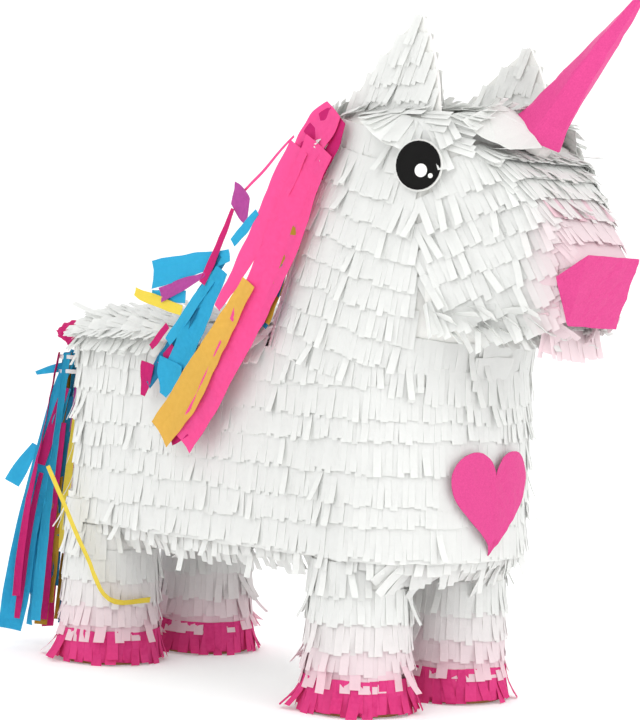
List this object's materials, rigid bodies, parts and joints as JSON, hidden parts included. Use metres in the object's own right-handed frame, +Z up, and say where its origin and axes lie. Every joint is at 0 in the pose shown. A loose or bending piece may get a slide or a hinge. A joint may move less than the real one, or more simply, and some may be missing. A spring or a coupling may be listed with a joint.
{
  "type": "unicorn pinata",
  "caption": "Hollow cardboard unicorn pinata covered with white tissue fringe, with pink hooves and horn, a streamer mane and tail, and a filling flap on its back.",
  "frame": {"origin": "on the ground under the middle of the whole model's box", "axes": "+X ahead, the way the animal looks, with the horn tip furthest out and the tail furthest back; +Y to its left; +Z up"},
  "size_m": [0.6594, 0.2238, 0.5653],
  "materials": {
    "corrugated_card": "matte",
    "rolled_card": "matte",
    "white_tissue": "matte",
    "blush_tissue": "matte",
    "pink_tissue": "matte",
    "pink_paper": "satin",
    "amber_tissue": "matte",
    "turquoise_tissue": "matte",
    "white_twine": "matte",
    "black_paper": "satin",
    "white_paper": "satin"
  },
  "bodies": {
    "root": {"back_panel": "corrugated_card", "back_tissue": "white_tissue", "belly_panel": "corrugated_card", "belly_tissue": "white_tissue", "chest_panel": "corrugated_card", "crown_panel": "corrugated_card", "ear_card_left": "corrugated_card", "ear_card_right": "corrugated_card", "ear_tissue_left": "white_tissue", "ear_tissue_right": "white_tissue", "eye_backing_left": "white_paper", "eye_backing_right": "white_paper", "eye_disc_left": "black_paper", "eye_disc_right": "black_paper", "eye_glint_left": "white_paper", "eye_glint_right": "white_paper", "hanger_plate": "corrugated_card", "heart": "pink_tissue", "hoof_band_front_left": "pink_tissue", "hoof_band_front_right": "pink_tissue", "hoof_band_rear_left": "pink_tissue", "hoof_band_rear_right": "pink_tissue", "horn_cone": "rolled_card", "horn_wrap": "pink_paper", "leg_tissue_front_left": "white_tissue", "leg_tissue_front_right": "white_tissue", "leg_tissue_rear_left": "white_tissue", "leg_tissue_rear_right": "white_tissue", "leg_tube_front_left": "corrugated_card", "leg_tube_front_right": "corrugated_card", "leg_tube_rear_left": "corrugated_card", "leg_tube_rear_right": "corrugated_card", "mane_amber": "amber_tissue", "mane_pink": "pink_tissue", "mane_turquoise": "turquoise_tissue", "muzzle_panel": "corrugated_card", "muzzle_patch": "pink_tissue", "neck_crest": "corrugated_card", "neck_front": "corrugated_card", "neck_side_left": "corrugated_card", "neck_side_right": "corrugated_card", "neck_tissue": "white_tissue", "rump_panel": "corrugated_card", "side_panel_left": "corrugated_card", "side_panel_right": "corrugated_card", "snout_tissue": "blush_tissue", "snout_tube": "corrugated_card", "sole_front_left": "corrugated_card", "sole_front_right": "corrugated_card", "sole_rear_left": "corrugated_card", "sole_rear_right": "corrugated_card", "tail_knot": "pink_tissue", "trunk_tissue": "white_tissue"},
    "flap": {"fill_flap": "corrugated_card", "flap_tissue": "white_tissue"},
    "tail": {"tail_bundle": "turquoise_tissue", "tail_tie_upper": "white_twine", "tail_tie_lower": "white_twine"}
  },
  "joints": [
    {"name": "flap_hinge", "type": "hinge", "parent": "root", "child": "flap", "pos_m": [-0.1477, 0.04745, 0.3156], "axis": [-1, 0, 0], "range_deg": [0, 110]},
    {"name": "tail_swing", "type": "hinge", "parent": "root", "child": "tail", "pos_m": [-0.2667, -0.04455, 0.288], "axis": [0, 1, 0], "range_deg": [0, 60]}
  ]
}
